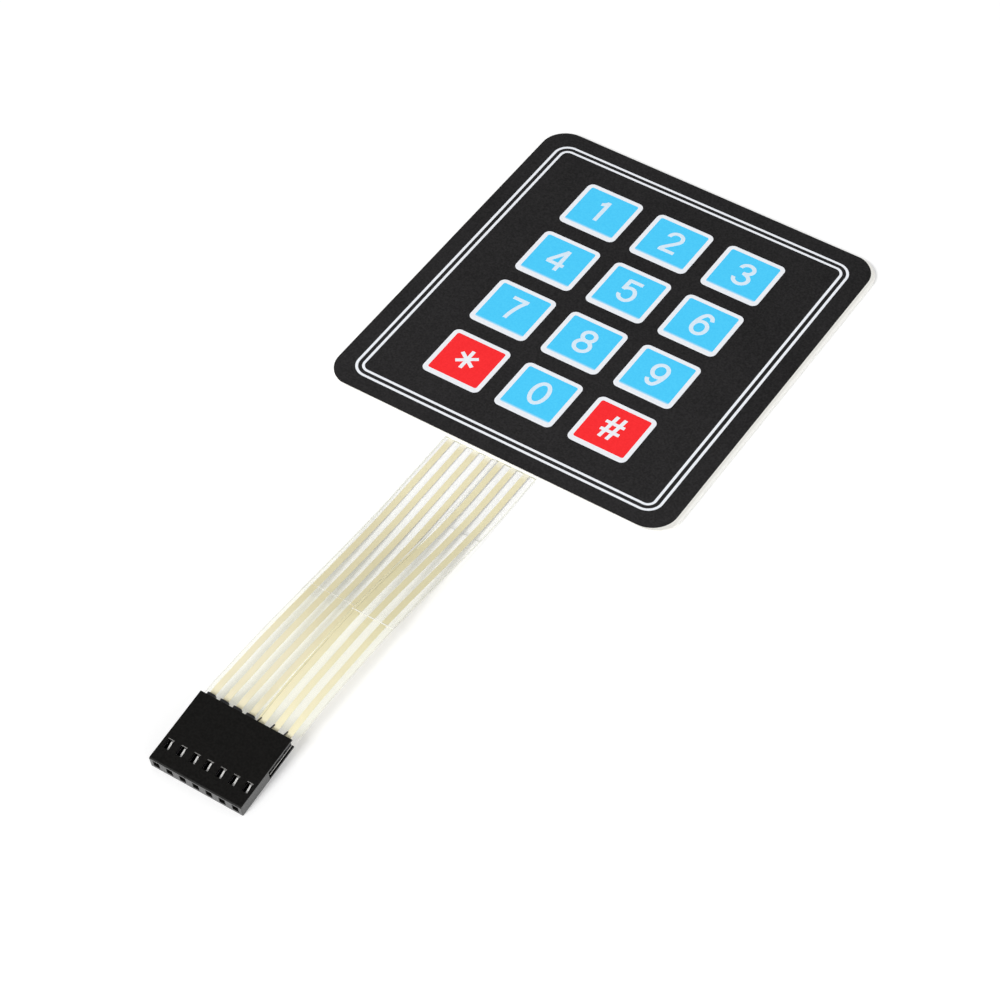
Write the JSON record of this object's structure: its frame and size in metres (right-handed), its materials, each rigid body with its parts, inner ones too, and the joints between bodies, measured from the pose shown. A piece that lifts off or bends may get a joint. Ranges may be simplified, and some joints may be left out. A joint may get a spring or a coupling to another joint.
{
  "type": "membrane keypad",
  "caption": "Thin self-adhesive membrane keypad with printed number keys and a flat split film tail that ends in a single-row socket connector.",
  "frame": {"origin": "middle of the pad's back face, on the release liner's underside", "axes": "+X along a row of keys from the first column to the last, +Y from the tail towards the first row of keys, +Z out of the printed face"},
  "size_m": [0.07, 0.1609, 0.0047],
  "materials": {
    "liner_paper": "siliconised paper",
    "adhesive": "translucent acrylic",
    "clear_film": "clear polyester",
    "silver_ink": "printed silver, satin",
    "face_film": "matte polyester",
    "black_ink": "fine matte texture",
    "white_ink": "fine matte texture",
    "blue_ink": "fine matte texture",
    "red_ink": "fine matte texture",
    "housing_plastic": "satin moulding",
    "tinned_metal": "tin plated"
  },
  "bodies": {
    "root": {"release_liner": "liner_paper", "rear_adhesive": "adhesive", "lower_circuit": "clear_film", "row_track_1": "silver_ink", "row_track_2": "silver_ink", "row_track_3": "silver_ink", "row_track_4": "silver_ink", "row_tail_cover": "clear_film", "spacer": "clear_film", "column_track_1": "silver_ink", "column_track_2": "silver_ink", "column_track_3": "silver_ink", "column_tail_cover": "clear_film", "upper_circuit": "clear_film", "overlay_adhesive": "adhesive", "face_overlay": "face_film", "black_print": "black_ink", "white_print": "white_ink", "blue_print": "blue_ink", "red_print": "red_ink", "connector_housing": "housing_plastic", "contact_1": "tinned_metal", "contact_2": "tinned_metal", "contact_3": "tinned_metal", "contact_4": "tinned_metal", "contact_5": "tinned_metal", "contact_6": "tinned_metal", "contact_7": "tinned_metal"}
  },
  "joints": []
}
